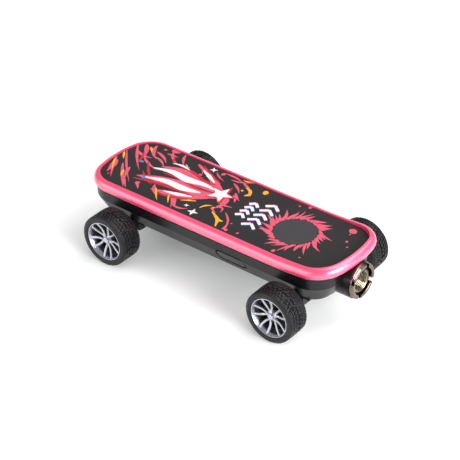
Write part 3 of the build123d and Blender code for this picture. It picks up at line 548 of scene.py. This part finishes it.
def connector_collar():
    """Ring with a fine outer thread, a chamfered lip and four slots across its face."""
    mesh = Mesh()

    def outside(x, angle):
        return screw_ridge(x, angle, COLLAR_RADIUS - 0.03, COLLAR_ROOT, COLLAR_SEAT + 0.25,
                           COLLAR_FACE - 0.12)

    outer = [(COLLAR_REAR, SHANK_RADIUS), (COLLAR_SEAT, SHANK_RADIUS),
             (COLLAR_SEAT, COLLAR_RADIUS - 0.1), (COLLAR_SEAT + 0.05, COLLAR_RADIUS),
             (COLLAR_SEAT + 0.22, COLLAR_RADIUS)]
    outer += [(x, outside) for x in stations(COLLAR_SEAT + 0.27, COLLAR_FACE - 0.14, THREAD_STEP)]
    outer += [(COLLAR_FACE - 0.09, 5.8), (COLLAR_FACE, 5.68)]
    web = COLLAR_REAR + COLLAR_WEB
    inner = [(COLLAR_REAR, SLEEVE_RADIUS + 0.05), (web, SLEEVE_RADIUS + 0.05), (web, COLLAR_BORE),
             (COLLAR_FACE - 0.14, COLLAR_BORE), (COLLAR_FACE - 0.03, 4.74), (COLLAR_FACE, 4.8)]
    turned_along_x(mesh, outer, inner, 120)
    piece = make("connector_collar", mesh.points, mesh.faces, FINISHES["nickel"], "chassis",
                 ["connector_collar"], 28)
    cuts = Mesh()
    bottom = COLLAR_FACE - SLOT_DEPTH
    clear = COLLAR_FACE + 0.5
    half = SLOT_WIDTH / 2
    for k in range(SLOT_COUNT):
        a = math.radians(SLOT_PHASE + 360 / SLOT_COUNT * k)
        rings = []
        for radius in (4.2, 6.6):
            rings.append([(x, radius * math.cos(a) - w * math.sin(a),
                           AXIS_Z + radius * math.sin(a) + w * math.cos(a))
                          for x, w in ((bottom, -half), (clear, -half), (clear, half),
                                       (bottom, half))])
        cuts.ring_strip(rings, close_rings=False)
    carve(piece, scratch(cuts))


def threaded_sleeve():
    """Flanged sleeve with the socket's real thread inside."""
    mesh = Mesh()
    end = SLEEVE_FACE - SOCKET_DEPTH

    def bore(x, angle):
        return screw_ridge(x, angle, SOCKET_CREST, SOCKET_ROOT, end + 0.3, SLEEVE_FACE - 0.1)

    flange = COLLAR_REAR + COLLAR_WEB
    outer = [(SLEEVE_REAR, SLEEVE_RADIUS - 0.15), (SLEEVE_REAR + 0.1, SLEEVE_RADIUS),
             (SLEEVE_REAR + 0.2, SLEEVE_RADIUS), (flange, SLEEVE_RADIUS), (flange, FLANGE_RADIUS),
             (flange + FLANGE_DEPTH, FLANGE_RADIUS), (flange + FLANGE_DEPTH, SLEEVE_RADIUS),
             (SLEEVE_FACE - 0.1, SLEEVE_RADIUS), (SLEEVE_FACE - 0.02, 3.9), (SLEEVE_FACE, 3.82)]
    inner = [(SLEEVE_REAR, REAR_BORE), (end, REAR_BORE), (end, SOCKET_MOUTH)]
    inner += [(x, bore) for x in stations(end + 0.2, SLEEVE_FACE - 0.12, THREAD_STEP)]
    inner += [(SLEEVE_FACE - 0.1, SOCKET_MOUTH), (SLEEVE_FACE, SOCKET_MOUTH + 0.1)]
    turned_along_x(mesh, outer, inner, 96)
    make("threaded_sleeve", mesh.points, mesh.faces, bore_plating(), "chassis",
         ["threaded_sleeve"], 28)


def bore_plating():
    """Warm plating, with shade painted darker into the thread's valleys."""
    plate = srgb(158, 144, 122)
    f = Finish("nickel_bore", plate, 0.2, 1.0)
    parts = f.nodes.new("ShaderNodeSeparateXYZ")
    f.links.new(f.place, parts.inputs["Vector"])

    def math_node(operation, first, second=None):
        node = f.nodes.new("ShaderNodeMath")
        node.operation = operation
        for socket, value in zip(node.inputs, (first, second)):
            if value is None:
                continue
            if isinstance(value, float):
                socket.default_value = value
            else:
                f.links.new(value, socket)
        return node.outputs["Value"]

    height = math_node("SUBTRACT", parts.outputs["Z"], AXIS_Z * MM)
    angle = math_node("ARCTAN2", height, parts.outputs["Y"])
    turns = math_node("DIVIDE", angle, 2 * math.pi)
    along = math_node("DIVIDE", parts.outputs["X"], THREAD_PITCH * MM)
    phase = math_node("SUBTRACT", along, turns)
    wave = math_node("COSINE", math_node("MULTIPLY", phase, 2 * math.pi))
    blotch = f.blend(f.spread(f.noise(1.2), 0, 1, 0.3, 0.7), shade(plate, 0.85), shade(plate, 1.1))
    # painted shade: the colour darkens towards each thread valley, as if the ridges shadowed it
    painted_valley_shade = f.spread(wave, 0, 0.88, -0.25, 0.8)
    f.to(f.blend(painted_valley_shade, blotch, srgb(44, 36, 30)), "Base Color")
    grain = f.noise(0.2, 4.0)
    f.to(f.add(f.spread(grain, 0.14, 0.24, 0.25, 0.75), f.spread(wave, 0, 0.3, 0, 1)), "Roughness")
    f.bump(grain, 0.001)
    return f.material


connector_collar()
threaded_sleeve()


# ------------------------------------------------------------------ printed art on the deck
class Print(Mesh):
    """One ink: flat closed islands, all of one thickness, on the deck plate."""

    def __init__(self, layer):
        super().__init__()
        self.top = DECK_TOP + 0.02 + 0.012 * layer
        self.bottom = DECK_TOP - 0.02

    def island(self, outline):
        """A filled outline that is star-shaped about its centre."""
        count = len(outline)
        cx = sum(x for x, y in outline) / count
        cy = sum(y for x, y in outline) / count
        base = len(self.points)
        for z in (self.bottom, self.top):
            self.points.extend((x, y, z) for x, y in outline)
            self.points.append((cx, cy, z))
        upper = base + count + 1
        for k in range(count):
            n = (k + 1) % count
            self.faces.append((base + k, base + n, base + count))
            self.faces.append((upper + n, upper + k, upper + count))
            self.faces.append((base + k, upper + k, upper + n, base + n))

    def stroke(self, spine, widths):
        """A brush stroke: a smooth line through the spine, with a width at each of its points."""
        path = smooth(spine, 6)
        count = len(path)
        left = []
        right = []
        for k, (x, y) in enumerate(path):
            ax, ay = path[max(0, k - 1)]
            bx, by = path[min(count - 1, k + 1)]
            size = math.hypot(bx - ax, by - ay) or 1.0
            at = k / (count - 1) * (len(widths) - 1)
            low = min(int(at), len(widths) - 2)
            half = (widths[low] + (widths[low + 1] - widths[low]) * (at - low)) / 2 + 0.02
            nx, ny = -(by - ay) / size * half, (bx - ax) / size * half
            left.append((x + nx, y + ny))
            right.append((x - nx, y - ny))
        base = len(self.points)
        for z in (self.bottom, self.top):
            self.points.extend((x, y, z) for x, y in left)
            self.points.extend((x, y, z) for x, y in right)
        up = 2 * count
        for k in range(count - 1):
            a, b = base + k, base + count + k
            self.faces.append((a, a + 1, b + 1, b))
            self.faces.append((a + up, b + up, b + 1 + up, a + 1 + up))
            self.faces.append((a, a + up, a + 1 + up, a + 1))
            self.faces.append((b, b + 1, b + 1 + up, b + up))
        for k in (0, count - 1):
            a, b = base + k, base + count + k
            self.faces.append((a, b, b + up, a + up))

    def lick(self, x, y, heading, length, width, bend, tail=0.25):
        """A flame-like stroke: starts narrow, swells, and ends in a point, curving by bend."""
        spine = []
        step = length / 5
        angle = heading
        for _ in range(6):
            spine.append((x, y))
            x += step * math.cos(math.radians(angle))
            y += step * math.sin(math.radians(angle))
            angle += bend / 5
        self.stroke(spine, [width * tail, width * 0.8, width, width * 0.78, width * 0.4, 0])

    def drop(self, x, y, radius, rng, rough=0.25, heading=0.0, stretch=1.0):
        """A blot with an uneven edge, drawn out along its heading."""
        count = 18
        turn = math.radians(heading)
        outline = []
        for k in range(count):
            a = 2 * math.pi * k / count
            r = radius * (1 + rng.uniform(-rough, rough))
            u, v = r * math.cos(a) * stretch, r * math.sin(a)
            outline.append((x + u * math.cos(turn) - v * math.sin(turn),
                            y + u * math.sin(turn) + v * math.cos(turn)))
        self.island(outline)


def smooth(points, steps):
    """A Catmull-Rom curve through the points."""
    path = []
    padded = [points[0]] + list(points) + [points[-1]]
    for k in range(1, len(padded) - 2):
        p0, p1, p2, p3 = padded[k - 1:k + 3]
        for j in range(steps):
            t = j / steps
            path.append(tuple(
                0.5 * (2 * b + (c - a) * t + (2 * a - 5 * b + 4 * c - d) * t * t
                       + (3 * b - a - 3 * c + d) * t ** 3)
                for a, b, c, d in zip(p0, p1, p2, p3)))
    path.append(tuple(points[-1]))
    return path


plate_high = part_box("deck_plate")[1]
window_low, window_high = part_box("display_window")
DECK_TOP = plate_high.z / MM
DISC_X = (window_low.x + window_high.x) / 2 / MM
DISC_RADIUS = 7.05
INKS = {
    "pink": ("art_pink", srgb(206, 84, 104), srgb(190, 70, 94)),
    "red": ("art_red", srgb(184, 28, 54), srgb(164, 20, 46)),
    "blue": ("art_blue", srgb(50, 140, 185), srgb(34, 110, 170)),
    "white": ("art_white", srgb(226, 218, 224), srgb(210, 198, 208)),
    "yellow": ("art_yellow", srgb(226, 172, 34), srgb(222, 134, 40)),
}
art = {name: Print(layer) for layer, name in enumerate(INKS)}
rng = random.Random(7)


def licks(ink_name, rows):
    for row in rows:
        art[ink_name].lick(*row)


def strokes(ink_name, rows):
    for spine, widths in rows:
        art[ink_name].stroke(spine, widths)


# streaks that sweep across the tail
licks("pink", (
    (-48.5, 10.0, -55, 17, 1.0, 16), (-46.0, 11.5, -48, 8, 1.7, -20),
    (-48.8, 4.5, -52, 20, 0.8, 12), (-49.0, -0.5, -62, 13, 1.0, 10),
    (-47.5, -2.0, -70, 8, 2.2, -12), (-44.6, -2.5, -52, 15, 1.1, 8),
    (-42.5, 12.8, -75, 9, 1.5, 60), (-45.5, 6.5, -30, 7, 1.3, 60),
    (-40.0, 9.8, -12, 8, 1.1, -40), (-41.5, 4.8, -35, 10, 1.1, 30),
    (-38.5, 7.0, -8, 7.5, 0.9, -50), (-35.5, 13.0, -60, 8, 1.0, 50),
    (-36.5, 11.0, 12, 4.5, 0.8, -18), (-41.0, -3.0, -75, 7, 1.3, 30),
    (-39.0, -8.5, -48, 7, 1.1, 10), (-31.0, 14.2, -72, 7, 1.0, 40),
    (-27.5, -6.2, -62, 6, 1.2, 30), (-33.5, -8.8, -30, 4.2, 1.0, -30),
    (-20.0, -6.5, -48, 9, 0.9, -14), (-17.0, -8.0, -72, 6, 1.3, 50),
    (-16.0, 12.0, -40, 6, 0.7, 30), (-24.0, 12.4, -20, 7, 0.8, -60),
    (-13.0, 13.4, 2, 8, 0.9, -24), (-9.5, 11.4, 5, 7, 0.7, 40),
    (-5.5, 12.4, -22, 9, 1.1, -36), (-7.5, 10.2, -25, 6.5, 0.9, -30),
    (-3.5, 6.0, -48, 5.0, 1.0, 24), (-15.5, -11.8, -15, 6, 0.9, 70)))
licks("red", (
    (-43.4, 7.2, -62, 9, 0.9, -16), (-38.2, 3.0, -50, 14, 0.9, 14),
    (-36.0, -2.2, -42, 9, 0.8, 22), (-33.0, 10.8, -66, 5, 0.8, 30)))
licks("yellow", (
    (-48.8, 3.2, -58, 4.5, 0.8, 10), (-48.6, -1.6, -64, 7, 0.8, 14),
    (-43.6, 10.9, -42, 3.2, 0.8, -10), (-41.4, -5.6, -72, 4, 0.8, 20),
    (-26.0, -7.4, -52, 7.5, 0.7, 10), (-20.0, -8.0, -58, 5, 0.6, 8),
    (-6.0, 13.5, 8, 4.2, 0.6, 16), (-27.3, 9.6, -30, 2.4, 0.5, -10)))


def star(ink_name, x, y, radius, inner, turn, points=5):
    outline = []
    for k in range(points * 2):
        r = radius if k % 2 == 0 else inner
        a = math.radians(turn + k * 180 / points)
        outline.append((x + r * math.cos(a), y + r * math.sin(a)))
    art[ink_name].island(outline)


# the middle: a comet, a star with broad brushed tails
strokes("pink", (
    (((-36, -5.5), (-29, -3.0), (-21, -1.5), (-13, -1.5), (-6, 1)), (0.3, 3.4, 5.2, 5.0, 1.6)),
    (((-33, 3.6), (-26, 5.6), (-19, 3.6), (-12, 3.6), (-6, 3)), (0.3, 2.8, 4.6, 4.2, 1.6)),
    (((-27, -9.0), (-21, -7.5), (-15, -5.5), (-9.0, -1.5)), (0.3, 2.6, 3.2, 1.6)),
    (((-24, 12.0), (-18, 9.6), (-12.5, 6.6), (-8, 4)), (0.3, 1.8, 2.6, 1.6))))
strokes("red", (
    (((-36, -7.4), (-29, -5.4), (-21, -4.2), (-13, -4.0)), (0.2, 1.2, 1.5, 0.2)),
    (((-29, 7.8), (-22, 7.2), (-16, 5.4), (-11, 5.6)), (0.2, 1.1, 1.3, 0.2)),
    (((-30, 1.0), (-23, 1.6), (-16, 0.4), (-10, 1.2)), (0.2, 1.2, 1.0, 0.2)),
    (((-24, -9.8), (-18, -8.4), (-12.0, -5.4)), (0.2, 1.3, 0.2)),
    (((-22, 12.6), (-16.4, 9.6), (-11, 7.4)), (0.2, 1.0, 0.2))))
strokes("white", (
    (((-34.5, 1.4), (-28, 3.2), (-21, 2.6), (-15, 3.6), (-10, 3.2)), (0.3, 2.2, 3.2, 1.8, 0.4)),
    (((-33.0, -4.6), (-26, -2.4), (-19, -2.4), (-12.6, -1.0)), (0.3, 2.4, 2.8, 0.4)),
    (((-23.0, -7.4), (-18, -6.2), (-13.4, -4.4)), (0.2, 1.7, 0.3)),
    (((-20.5, 10.4), (-16.6, 8.6), (-12.8, 6.6)), (0.2, 1.5, 0.3)),
    (((-31.0, 7.6), (-27.4, 8.2), (-24.0, 7.6)), (0.2, 1.0, 0.2))))
star("red", -6.6, 2.3, 5.6, 2.5, 12)
star("white", -6.9, 2.3, 4.4, 1.9, 12)
star("pink", -6.9, 2.3, 1.7, 0.75, 48)
star("white", -17.8, 12.6, 1.4, 0.5, 30, 4)
star("white", -7.6, -11.2, 1.9, 0.7, 10, 4)
star("white", -11.6, -9.4, 0.9, 0.35, 30, 4)
strokes("yellow", (
    (((-15.0, -8.2), (-12.6, -6.6), (-10.6, -5.6)), (0.2, 0.8, 0.2)),
    (((-5.0, -4.6), (-6.6, -5.8), (-7.4, -8.0)), (0.2, 0.7, 0.2)),
    (((-2.6, 10.6), (-0.4, 9.8), (0.6, 7.8), (-0.4, 6.4)), (0.3, 1.0, 1.1, 0.3)),
    (((-2.8, -7.2), (-0.6, -8.4), (1.4, -9.8), (3.2, -13.2)), (0.3, 0.9, 1.2, 0.3)),
    (((0.6, -8.9), (2.2, -9.8), (3.4, -9.4)), (0.4, 1.1, 0.2))))

# splash and runs between the comet and the chevrons
strokes("pink", (
    (((-5.4, 1.4), (-3.4, 0.6), (-2.6, -2.4), (-3.6, -5.4)), (1.4, 2.4, 1.2, 0.3)),
    (((-4.2, -1.6), (-1.6, -2.0), (0.8, -1.4)), (1.1, 0.8, 0.1)),
    (((-3.6, -3.6), (-1.2, -3.8), (-0.4, -6.0)), (1.2, 0.6, 0.1)),
    (((1.0, -5.0), (3.8, -7.4), (5.6, -10.2), (6.2, -13.0)), (0.2, 0.7, 0.6, 1.1)),
    (((-4.4, -5.6), (-1.6, -7.2)), (0.9, 0.3)),
    (((-3.4, 4.6), (-1.6, 3.2), (-0.4, 1.4)), (0.2, 1.0, 0.1))))
BLOT_SHIFT = 0.9            # all blots sit this much nearer to the nose than listed
for name, x, y, radius, heading, stretch in (
        ("pink", -36.0, 14.0, 1.3, 20, 1.3), ("pink", -39.5, 12.6, 0.55, 0, 1),
        ("pink", -20.4, 7.6, 0.5, 0, 1.2), ("pink", -14.5, 12.6, 0.6, 70, 1.6),
        ("pink", -33.8, -8.8, 0.75, 30, 1.2), ("red", -45.0, -10.4, 0.45, 0, 1),
        ("yellow", 3.3, 12.1, 0.95, 80, 1.15), ("yellow", -3.6, 8.4, 0.45, 0, 1),
        ("yellow", -6.0, -1.2, 0.4, 0, 1), ("yellow", -4.8, -5.2, 0.4, 0, 1),
        ("blue", -41.0, 2.0, 0.55, 40, 1.2), ("blue", -34.2, -5.0, 0.7, 40, 1.3),
        ("blue", -26.2, 8.6, 0.3, 0, 1.4), ("pink", 38.3, 11.2, 1.25, 160, 1.15),
        ("pink", 38.6, 9.2, 0.3, 0, 1), ("pink", 40.0, 5.4, 0.45, 0, 1),
        ("pink", 41.8, 3.0, 0.35, 0, 1), ("pink", 19.8, 14.0, 0.6, 90, 1.2),
        ("pink", 16.6, 12.6, 0.3, 60, 1.6), ("pink", 24.8, -12.6, 0.6, 90, 1.2),
        ("pink", 33.4, -10.6, 0.3, 0, 1.4), ("pink", 10.2, -11.9, 0.35, 60, 1.5),
        ("pink", 6.2, -12.6, 0.6, 90, 1.1), ("pink", 5.4, -8.8, 0.3, 0, 1)):
    art[name].drop(x + BLOT_SHIFT, y, radius, rng, 0.14, heading, stretch)

# flames that swirl round the window
FLAME_COUNT = 52
for k in range(FLAME_COUNT):
    around = k * 360 / FLAME_COUNT + rng.uniform(-4, 4)
    a = math.radians(around)
    start = DISC_RADIUS + rng.uniform(0.3, 0.6)
    art["pink"].lick(DISC_X + start * math.cos(a), start * math.sin(a),
                     around - rng.uniform(52, 78), rng.choice((2.6, 4.0, 5.2, 6.4)),
                     rng.uniform(0.6, 1.2), rng.uniform(-6, 50), 0.9)

# two rows of chevrons where a maker would print a name
for row_x, low_y, count, height, pitch in ((5.6, -3.9, 4, 3.4, 2.5), (11.3, -7.0, 5, 5.0, 3.2)):
    for k in range(count):
        y = low_y + pitch * k
        for name, dx, dy in (("red", -0.22, 0.3), ("blue", 0.26, -0.26), ("white", 0.0, 0.0)):
            x = row_x + dx
            tip = (x, y + dy + pitch * 0.62)
            for end in (-height / 2, height / 2):
                art[name].stroke(((x + end, y + dy), tip), (1.0, 1.0))


def plate_stencil():
    """The deck plate's outline as a slab that reaches above and below its top."""
    stencil = bpy.data.objects.new("stencil", nodes["deck_plate"].data.copy())
    for vertex in stencil.data.vertices:
        above = vertex.co.z > plate_high.z - 0.1 * MM
        vertex.co.z += 0.5 * MM if above else -0.5 * MM
    return stencil


for name, (piece_name, colour, second) in INKS.items():
    layer = art[name]
    piece = make(piece_name, layer.points, layer.faces, ink(piece_name, colour, second),
                 "chassis", sharp=20)
    carve(piece, plate_stencil(), "INTERSECT")


# ------------------------------------------------------------------ floor, light and camera
def floor_material():
    f = Finish("floor", srgb(236, 237, 237), 0.55, specular=0.25)
    f.to(f.blend(f.noise(60.0), srgb(234, 235, 235), srgb(238, 239, 239)), "Base Color")
    f.shader.inputs["Emission Color"].default_value = srgb(249, 250, 250)
    f.shader.inputs["Emission Strength"].default_value = 0.19
    f.to(f.spread(f.noise(8.0), 0.5, 0.6), "Roughness")
    return f.material


def floor():
    mesh = bpy.data.meshes.new("floor")
    reach = 3.0
    work = bmesh.new()
    bmesh.ops.create_grid(work, x_segments=8, y_segments=8, size=reach)
    work.to_mesh(mesh)
    work.free()
    mesh.materials.append(floor_material())
    ground = bpy.data.objects.new("floor", mesh)
    bpy.context.scene.collection.objects.link(ground)


def softbox(name, place, target, width, height, power):
    light = bpy.data.lights.new(name, "AREA")
    light.shape = "RECTANGLE"
    light.size = width
    light.size_y = height
    light.energy = power
    lamp = bpy.data.objects.new(name, light)
    lamp.location = place
    aim = Vector(target) - Vector(place)
    lamp.rotation_euler = aim.to_track_quat("-Z", "Y").to_euler()
    bpy.context.scene.collection.objects.link(lamp)


def camera():
    """The eye's place as angles and a distance about the wheelbase's middle at axle height."""
    azimuth = math.radians(37.955)
    elevation = math.radians(34.641)
    distance = 0.56184
    back = Vector((math.sin(azimuth) * math.cos(elevation),
                   -math.cos(azimuth) * math.cos(elevation), math.sin(elevation)))
    middle = Vector((0.0009, 0, 0.009))
    lens = bpy.data.cameras.new("camera")
    lens.sensor_width = 36.0
    lens.lens = 134.87
    lens.shift_x = -0.0108
    lens.shift_y = 0.0248
    lens.clip_start = 0.01
    eye = bpy.data.objects.new("camera", lens)
    eye.location = middle + back * distance
    eye.rotation_euler = back.to_track_quat("Z", "Y").to_euler()
    bpy.context.scene.collection.objects.link(eye)
    bpy.context.scene.camera = eye


floor()
softbox("top", (0.25, 0.45, 0.9), (0, 0, 0), 0.9, 0.9, 8)
softbox("side", (-0.55, -0.85, 0.4), (0, 0, 0.01), 1.2, 0.75, 7)
softbox("nose", (0.9, -0.02, 0.34), (0.03, 0, 0.01), 0.8, 0.5, 16)
world = bpy.data.worlds.new("world")
world.use_nodes = True
world.node_tree.nodes["Background"].inputs["Color"].default_value = (1, 1, 1, 1)
world.node_tree.nodes["Background"].inputs["Strength"].default_value = 0.42
bpy.context.scene.world = world
bpy.context.scene.view_settings.view_transform = "Standard"
camera()
